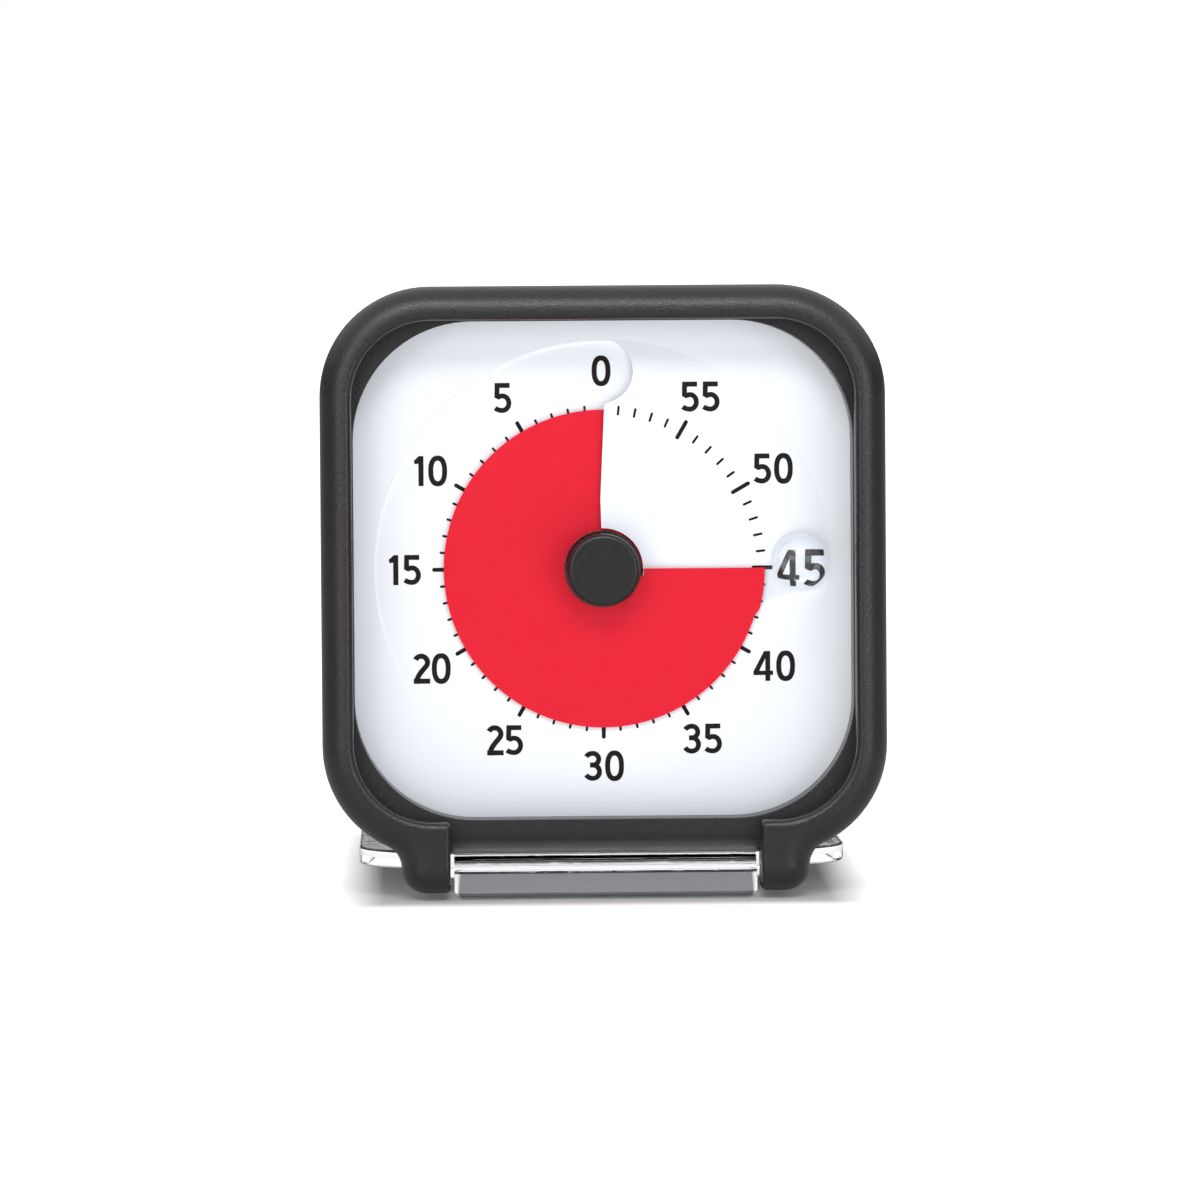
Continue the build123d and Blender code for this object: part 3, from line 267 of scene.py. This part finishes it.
def wound_copper():
    """Enamelled wire, seen as fine turns side by side along the coil."""
    material, shader = new_material("copper", (0.72, 0.27, 0.1), 0.3, metallic=1.0)
    turns = material.node_tree.nodes.new("ShaderNodeTexWave")
    turns.bands_direction = "X"
    turns.inputs["Scale"].default_value = WIRE_TURNS_PER_MM * WAVE_PERIOD
    turns.inputs["Distortion"].default_value = 0.4
    scaled_coordinates(material, turns, (1 / MM, 1 / MM, 1 / MM))
    uneven = ranged(material, noise(material, 1.5, 3), 0, 1)
    blend_colours(material, shader, uneven, (0.66, 0.22, 0.08), (0.8, 0.34, 0.14))
    vary_roughness(material, shader, noise(material, 0.3, 2), 0.24, 0.4)
    bump(material, shader, turns.outputs["Fac"], 0.05)
    return material


def circuit_board():
    """Green solder resist over copper, with faint raised tracks."""
    material, shader = new_material("board", RESIST, 0.3)
    tracks = material.node_tree.nodes.new("ShaderNodeTexBrick")
    tracks.inputs["Scale"].default_value = 1
    tracks.inputs["Mortar Size"].default_value = 0.12
    scaled_coordinates(material, tracks, (1 / (TRACK_PITCH * MM),) * 3)
    blend_colours(material, shader, tracks.outputs["Fac"], RESIST, (0.05, 0.22, 0.07))
    vary_roughness(material, shader, noise(material, 0.8, 3), 0.24, 0.4)
    bump(material, shader, tracks.outputs["Fac"], 0.02)
    return material


def cell_jacket():
    """The plain jacket of the cell: dark grey, with a lighter band at its end towards +x."""
    material, shader = new_material("cell_jacket", JACKET_GREY, 0.28, metallic=0.6)
    tree = material.node_tree
    where = tree.nodes.new("ShaderNodeTexCoord")
    split = tree.nodes.new("ShaderNodeSeparateXYZ")
    tree.links.new(where.outputs["Object"], split.inputs["Vector"])
    low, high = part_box("battery")
    band_start = high.x - CELL_BAND * (high.x - low.x)
    edge = (band_start - CELL_BAND_EDGE * MM, band_start + CELL_BAND_EDGE * MM)
    band = ranged(material, split.outputs["X"], 0, 1, *edge)
    blend_colours(material, shader, band, JACKET_GREY, (0.55, 0.36, 0.16))
    vary_roughness(material, shader, noise(material, 1, 4), 0.22, 0.36)
    bump(material, shader, noise(material, 3, 2), 0.01)
    return material


ink = printed_ink()
slot_materials = {
    "black_case": spark_textured(
        "black_case", (0.004, 0.004, 0.0042), (0.006, 0.006, 0.0064), 0.32, 0.22, 0.05, 0.65
    ),
    "white_dial": white_dial(),
    "red_film": red_film(),
    "clear_plastic": clear_plastic(),
    "movement_plastic": moulded("movement_plastic", (0.03, 0.03, 0.032), (0.05, 0.05, 0.052)),
    "wheel_plastic": moulded("wheel_plastic", (0.82, 0.8, 0.74), (0.88, 0.87, 0.82), 0.4),
    "steel": metal("steel", (0.56, 0.56, 0.57), (0.66, 0.65, 0.63), 0.3),
    "soft_iron": metal(
        "soft_iron", (0.42, 0.41, 0.39), (0.52, 0.5, 0.47), 0.45, (1, 12, 1), 0.2, 0.004
    ),
    "copper": wound_copper(),
    "board": circuit_board(),
    "chip": moulded("chip", (0.012, 0.012, 0.013), (0.02, 0.02, 0.02), 0.3, 0.5),
    "nickel": metal("nickel", (0.7, 0.67, 0.6), (0.76, 0.74, 0.7), 0.2),
    "beeper_brass": metal(
        "beeper_brass", (0.74, 0.55, 0.24), (0.8, 0.66, 0.36), 0.3, (1, 1, 1), 0.3
    ),
    "lead_sleeve": moulded("lead_sleeve", (0.55, 0.02, 0.015), (0.62, 0.035, 0.03), 0.35),
    "switch_plastic": moulded(
        "switch_plastic", (0.014, 0.014, 0.014), (0.022, 0.022, 0.022), 0.5, 0.4
    ),
    "cell_jacket": cell_jacket(),
}
knob_plastic = spark_textured(
    "knob_plastic", (0.005, 0.005, 0.0054), (0.007, 0.007, 0.0078), 0.33, 0.26, 0.04, 0.55
)

for part in frame["record"]["subparts"]:
    node = frame["nodes"][part["node"]]
    finish = slot_materials[part["material_slot"]]
    if part["node"] == "knob":
        finish = knob_plastic
    if not node.material_slots:
        node.data.materials.append(finish)
    for slot in node.material_slots:
        slot.material = finish


# ---------------------------------------------------------------- dial print

# all in millimetres but the steps, the arc's step in degrees and the minutes
RING_RADIUS = 26.8
FIGURE_HEIGHT = 4.07
FIGURE_STROKE = 0.70
SLIM_STROKE = 0.67
FOOT_STROKE = 0.68
FIGURE_WIDTHS = {"0": 2.56, "1": 1.29, "2": 2.24, "3": 2.43, "4": 2.66, "5": 2.42}
FIGURE_GAPS = {"0": 0.4, "1": 0.64, "2": 0.22, "3": 0.44, "4": 0.44, "5": 0.4}
# half width, half height and fullness of the outside and the inside of the 0
BOWLS = ((1.28, 2.085, 2.35), (0.6, 1.39, 2.3))
BOWL_STEPS = 44
CURVE_STEPS = 9
ARC_STEP = 9
# inner radius, outer radius and width
MAJOR_TICK = (20.2, 23.1, 0.54)
MINOR_TICK = (20.87, 22.2, 0.32)
MINUTES = 60
MAJOR_EVERY = 5
PRINT_PROUD = 0.035
PRINT_SUNK = 0.02
# rays that look for the plate's surface start here, in front of all of it
PROBE_START = 8
SAME_POINT = 1e-4
# for delaunay_2d_cdt: how near points are merged, and the kind of result that covers only the faces
MERGE_DISTANCE = 1e-5
FACES_ONLY = 1


def arc(centre, radii, start, end):
    """Points along a stretch of an ellipse, from one direction in degrees to another."""
    steps = max(2, round(abs(end - start) / ARC_STEP))
    turns = [radians(start + (end - start) * i / steps) for i in range(steps + 1)]
    return [(centre[0] + radii[0] * cos(t), centre[1] + radii[1] * sin(t)) for t in turns]


def bezier(a, b, c, d):
    """Points along a cubic curve, without its first point."""
    points = []
    for i in range(1, CURVE_STEPS + 1):
        t = i / CURVE_STEPS
        weights = ((1 - t) ** 3, 3 * t * (1 - t) ** 2, 3 * t * t * (1 - t), t**3)
        points.append(tuple(sum(w * p[k] for w, p in zip(weights, (a, b, c, d))) for k in (0, 1)))
    return points


def stroke(points, width=FIGURE_STROKE):
    """The quadrilaterals of a pen stroke, square at its ends and mitred at its corners."""
    path = [Vector(points[0])]
    for before, point in zip(points, points[1:]):
        if (Vector(point) - Vector(before)).length > SAME_POINT:
            path.append(Vector(point))
    headings = [(b - a).normalized() for a, b in zip(path, path[1:])]
    sides = []
    for i, point in enumerate(path):
        before = headings[max(i - 1, 0)]
        after = headings[min(i, len(headings) - 1)]
        across = Vector((-before.y - after.y, before.x + after.x)).normalized()
        reach = width / 2 / across.dot(Vector((-after.y, after.x)))
        sides.append((point + across * reach, point - across * reach))
    return [[a[0], a[1], b[1], b[0]] for a, b in zip(sides, sides[1:])]


def bowl(half_width, half_height, fullness, turn):
    """A point of a superellipse round the middle of a figure 0."""
    c, s = cos(turn), sin(turn)
    return (
        FIGURE_WIDTHS["0"] / 2 + half_width * abs(c) ** (2 / fullness) * (1 if c >= 0 else -1),
        FIGURE_HEIGHT / 2 + half_height * abs(s) ** (2 / fullness) * (1 if s >= 0 else -1),
    )


def figure_0():
    turns = [2 * pi * i / BOWL_STEPS for i in range(BOWL_STEPS)]
    outer, inner = ([bowl(*shape, turn) for turn in turns] for shape in BOWLS)
    return [[outer[i - 1], outer[i], inner[i], inner[i - 1]] for i in range(BOWL_STEPS)]


def figure_1():
    stem = [(0.6, 0), (1.29, 0), (1.29, FIGURE_HEIGHT), (0.68, FIGURE_HEIGHT)]
    return [stem + [(0, 3.45), (0.09, 2.98), (0.6, 3.04)]]


def figure_2():
    head = arc((1.03, 2.9), (0.85, 0.835), 155, -25)
    tail = bezier(head[-1], (1.56, 2.05), (0.4, 1.25), (0.35, 0))
    return stroke(head + tail) + stroke([(0, 0.34), (2.24, 0.34)], FOOT_STROKE)


def figure_3():
    top, bottom = (1.22, 2.96), (1.22, 1.255)
    upper = arc(top, (1.0, 0.79), 155, 90) + arc(top, (0.78, 0.79), 90, -90)
    lower = arc(bottom, (0.88, 0.905), 90, -90) + arc(bottom, (1.05, 0.905), -90, -153)
    return stroke(upper + [(0.81, 2.17)], SLIM_STROKE) + stroke([(0.81, 2.16)] + lower, SLIM_STROKE)


def figure_4():
    stem = [(1.616, 0), (2.277, 0), (2.277, FIGURE_HEIGHT), (1.616, FIGURE_HEIGHT)]
    bar = [(0, 0.808), (2.66, 0.808), (2.66, 1.396), (0, 1.396)]
    foot = [(0, 1.32), (0.1, 0.9), (0.55, 0.935)]
    diagonal = foot + [(1.95, 3.76), (1.95, FIGURE_HEIGHT), (1.44, FIGURE_HEIGHT)]
    return [stem, bar, diagonal]


def figure_5():
    flag = stroke([(2.2, 3.74), (0.5, 3.74), (0.46, 2.08)], SLIM_STROKE)
    heel = [[(0.13, 2.12), (0.7, 1.81), (0.85, 2.2)]]
    middle = (1.2, 1.335)
    rounded = arc(middle, (0.95, 0.985), 128, 90) + arc(middle, (0.88, 0.985), 90, -90)
    tail = arc(middle, (1.3, 0.985), -90, -139)
    return flag + heel + stroke(rounded + tail, SLIM_STROKE)


FIGURES = {"0": figure_0, "1": figure_1, "2": figure_2, "3": figure_3, "4": figure_4, "5": figure_5}


def numeral(text, centre):
    """The figures of a number centred on a point of the dial, each as outlines that overlap."""
    width = sum(FIGURE_WIDTHS[c] for c in text) + sum(FIGURE_GAPS[c] for c in text[:-1])
    x = centre[0] - width / 2
    y = centre[1] - FIGURE_HEIGHT / 2
    figures = []
    for character in text:
        figures.append([[(p[0] + x, p[1] + y) for p in piece] for piece in FIGURES[character]()])
        x += FIGURE_WIDTHS[character] + FIGURE_GAPS[character]
    return figures


def tick(minute):
    """A bar with round ends that points at the middle of the dial."""
    inner, outer, width = MINOR_TICK if minute % MAJOR_EVERY else MAJOR_TICK
    half = width / 2
    outer_end = arc((0, outer - half), (half, half), 0, 180)
    ends = outer_end + arc((0, inner + half), (half, half), 180, 360)
    turn = 2 * pi * minute / MINUTES
    return [[(x * cos(turn) - y * sin(turn), x * sin(turn) + y * cos(turn)) for x, y in ends]]


plate = frame["nodes"]["dial_plate"].data
plate_faces = [polygon.vertices for polygon in plate.polygons]
plate_tree = BVHTree.FromPolygons([vertex.co for vertex in plate.vertices], plate_faces)


def dial_front(x, y):
    """How far in front of the flat dial the plate's surface stands at a point."""
    hit = plate_tree.ray_cast(place(x, y, PROBE_START), -out)[0]
    return (hit - dial_centre).dot(out) / MM


def print_on_dial(name, marks):
    """One closed layer of ink for all the marks. Each mark's outlines are united before."""
    mesh = bmesh.new()
    for pieces in marks:
        points = []
        faces = []
        for piece in pieces:
            faces.append(list(range(len(points), len(points) + len(piece))))
            points += [Vector(p) for p in piece]
        united = delaunay_2d_cdt(points, [], faces, FACES_ONLY, MERGE_DISTANCE)
        places, triangles, sources = united[0], united[2], united[5]
        fronts = [dial_front(*p) for p in places]
        top = [mesh.verts.new(place(*p, f + PRINT_PROUD)) for p, f in zip(places, fronts)]
        low = [mesh.verts.new(place(*p, f - PRINT_SUNK)) for p, f in zip(places, fronts)]
        edges = set()
        for triangle, source in zip(triangles, sources):
            if not source:
                continue
            a, b, c = (places[i] for i in triangle)
            if (b - a).cross(c - a) < 0:
                triangle = triangle[::-1]
            mesh.faces.new([top[i] for i in triangle])
            mesh.faces.new([low[i] for i in reversed(triangle)])
            edges.update(zip(triangle, [*triangle[1:], triangle[0]]))
        # an edge that no other triangle shares is on the mark's outline and gets a side wall
        for start, end in sorted(edges):
            if (end, start) not in edges:
                mesh.faces.new([low[start], low[end], top[end], top[start]])
    bmesh.ops.delete(mesh, geom=[v for v in mesh.verts if not v.link_faces], context="VERTS")
    data = bpy.data.meshes.new(name)
    mesh.to_mesh(data)
    mesh.free()
    data.materials.append(ink)
    piece = bpy.data.objects.new(name, data)
    bpy.context.scene.collection.objects.link(piece)
    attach(piece, "case")


figures = []
for minute in range(0, MINUTES, MAJOR_EVERY):
    figures += numeral(str(minute), on_ring(RING_RADIUS, 360 * minute / MINUTES))
print_on_dial("dial_numerals", figures)
print_on_dial("dial_ticks", [tick(minute) for minute in range(1, MINUTES)])


# ---------------------------------------------------------------- floor, light and camera

FLOOR_SIZE = 40.0
FLOOR_COLOUR = (0.85, 0.85, 0.85, 1)
# how strongly the floor glows white at the timer's footprint and beyond the reach, in metres
FLOOR_GLOW_NEAR = 0.05
FLOOR_GLOW_FAR = 0.95
GLOW_REACH = 0.008
# how much the footprint is narrower than the timer on each side, in metres
GLOW_INSET = 0.008
# the light that the floor and the world give to the timer's matt surfaces
FLOOR_BOUNCE = 0.75
AMBIENT = 0.42
# the share of the white that glosses show, and between which heights the world goes up to all of it
REFLECTED = 0.12
OVERHEAD_FROM = 0.12
OVERHEAD_TO = 0.5
WHITE = (1, 1, 1, 1)
# between no scattering and one
ANY_SCATTERING = 0.5

# the bezel's crest in front of the dial, and the rest of the camera's place, in millimetres
CREST = 10.0
CAMERA_DISTANCE = 1000.0
CAMERA_FOOT = (-25.0, 34.0)
CAMERA_AIM = (-0.62, -3.89)
CAMERA_ROLL = 0.35
FOCAL_LENGTH = 223.6
SENSOR = 36.0
CAMERA_CLIP = 0.05


def combine(tree, operation, first, second):
    """The result of an operation on two values, each a socket or a plain number."""
    node = tree.nodes.new("ShaderNodeMath")
    node.operation = operation
    for socket, value in zip(node.inputs, (first, second)):
        if isinstance(value, (int, float)):
            socket.default_value = value
        else:
            tree.links.new(value, socket)
    return node.outputs[0]


def seen_directly(tree, share):
    """1 for rays from the camera, also through glass, and a share for those that glosses send on.

    It is 0 for the other rays, and for all that come after a scattering.
    """
    path = tree.nodes.new("ShaderNodeLightPath")
    is_camera, is_transmission = path.outputs["Is Camera Ray"], path.outputs["Is Transmission Ray"]
    seen = combine(tree, "MAXIMUM", is_camera, is_transmission)
    mirrored = combine(tree, "MULTIPLY", path.outputs["Is Glossy Ray"], share)
    scattered = combine(tree, "GREATER_THAN", path.outputs["Diffuse Depth"], ANY_SCATTERING)
    unscattered = combine(tree, "SUBTRACT", 1, scattered)
    return combine(tree, "MULTIPLY", combine(tree, "MAXIMUM", seen, mirrored), unscattered)


def make_floor():
    """A wide pale floor that shows as white, keeps the timer's shadow but for painted light behind clear plastic,
    and shines up at it.
    """
    bpy.ops.mesh.primitive_plane_add(size=FLOOR_SIZE)
    floor = bpy.context.object
    floor.name = "floor"
    material = bpy.data.materials.new("floor")
    material.use_nodes = True
    tree = material.node_tree
    tree.nodes.remove(tree.nodes["Principled BSDF"])
    matt = tree.nodes.new("ShaderNodeBsdfDiffuse")
    matt.inputs["Color"].default_value = FLOOR_COLOUR
    glow = tree.nodes.new("ShaderNodeEmission")
    both = tree.nodes.new("ShaderNodeAddShader")
    # the distance from the timer's footprint, near which the glow fades and leaves the shadow
    where = tree.nodes.new("ShaderNodeTexCoord").outputs["Object"]
    half_size = (cad_box[1][0] - GLOW_INSET, cad_box[1][1], 0)
    for operation, amount in (("ABSOLUTE", None), ("SUBTRACT", half_size), ("MAXIMUM", (0, 0, 0))):
        step = tree.nodes.new("ShaderNodeVectorMath")
        step.operation = operation
        tree.links.new(where, step.inputs[0])
        if amount:
            step.inputs[1].default_value = amount
        where = step.outputs[0]
    length = tree.nodes.new("ShaderNodeVectorMath")
    length.operation = "LENGTH"
    tree.links.new(where, length.inputs[0])
    distance = length.outputs["Value"]
    fading = ranged(material, distance, FLOOR_GLOW_NEAR, FLOOR_GLOW_FAR, 0, GLOW_REACH)
    path = tree.nodes.new("ShaderNodeLightPath")
    # painted light: seen through clear plastic the floor glows white everywhere, also in the timer's shadow near
    # it
    painted_light_through_glass = combine(tree, "MULTIPLY", path.outputs["Is Transmission Ray"], FLOOR_GLOW_FAR)
    seen = seen_directly(tree, REFLECTED)
    shown = combine(tree, "MULTIPLY", seen, combine(tree, "MAXIMUM", fading, painted_light_through_glass))
    # a light on the timer beside the lamps and the world, as from a floor that is lit to white
    bounced = combine(tree, "MULTIPLY", path.outputs["Is Diffuse Ray"], FLOOR_BOUNCE)
    tree.links.new(combine(tree, "ADD", shown, bounced), glow.inputs["Strength"])
    tree.links.new(matt.outputs[0], both.inputs[0])
    tree.links.new(glow.outputs[0], both.inputs[1])
    tree.links.new(both.outputs[0], tree.nodes["Material Output"].inputs["Surface"])
    floor.data.materials.append(material)


def make_world():
    """White where it is seen, in glosses dim except overhead, and a lower light on the rest."""
    world = bpy.data.worlds.new("studio")
    bpy.context.scene.world = world
    world.use_nodes = True
    tree = world.node_tree
    background = tree.nodes["Background"]
    background.inputs["Color"].default_value = WHITE
    split = tree.nodes.new("ShaderNodeSeparateXYZ")
    direction = tree.nodes.new("ShaderNodeTexCoord").outputs["Generated"]
    tree.links.new(direction, split.inputs["Vector"])
    overhead = ranged(world, split.outputs["Z"], REFLECTED, 1, OVERHEAD_FROM, OVERHEAD_TO)
    path = tree.nodes.new("ShaderNodeLightPath")
    ambient = combine(tree, "MULTIPLY", path.outputs["Is Diffuse Ray"], AMBIENT)
    level = combine(tree, "MAXIMUM", seen_directly(tree, overhead), ambient)
    tree.links.new(level, background.inputs["Strength"])


def softbox(name, at, size, power, colour=(1, 1, 1)):
    """A soft lamp that shines on the dial. at is right, up and front in millimetres."""
    lamp = bpy.data.lights.new(name, "AREA")
    lamp.shape = "RECTANGLE"
    lamp.size, lamp.size_y = (s * MM for s in size)
    lamp.energy = power
    lamp.color = colour
    holder = bpy.data.objects.new(name, lamp)
    holder.location = place(*at)
    towards_dial = dial_centre - holder.location
    holder.rotation_euler = towards_dial.to_track_quat("-Z", "Y").to_euler()
    bpy.context.scene.collection.objects.link(holder)


def make_camera():
    """The camera stands about a metre away, a little above and to the left of the dial's middle."""
    eye = place(*CAMERA_FOOT, CREST + CAMERA_DISTANCE)
    look = place(*CAMERA_AIM, CREST) - eye
    camera = bpy.data.objects.new("camera", bpy.data.cameras.new("camera"))
    camera.data.lens = FOCAL_LENGTH
    camera.data.sensor_width = SENSOR
    camera.data.clip_start = CAMERA_CLIP
    camera.location = eye
    roll = Quaternion((0, 0, 1), radians(-CAMERA_ROLL))
    camera.rotation_euler = (look.to_track_quat("-Z", "Y") @ roll).to_euler()
    bpy.context.scene.collection.objects.link(camera)
    bpy.context.scene.camera = camera


make_floor()
make_world()
softbox("key", (-450, 150, 850), (400, 300), 1.1)
softbox("crest", (-40, 530, 700), (600, 200), 2.4)
softbox("side", (520, 60, 860), (400, 400), 1.6, (0.87, 0.93, 1.0))
make_camera()
bpy.context.scene.view_settings.view_transform = "Standard"
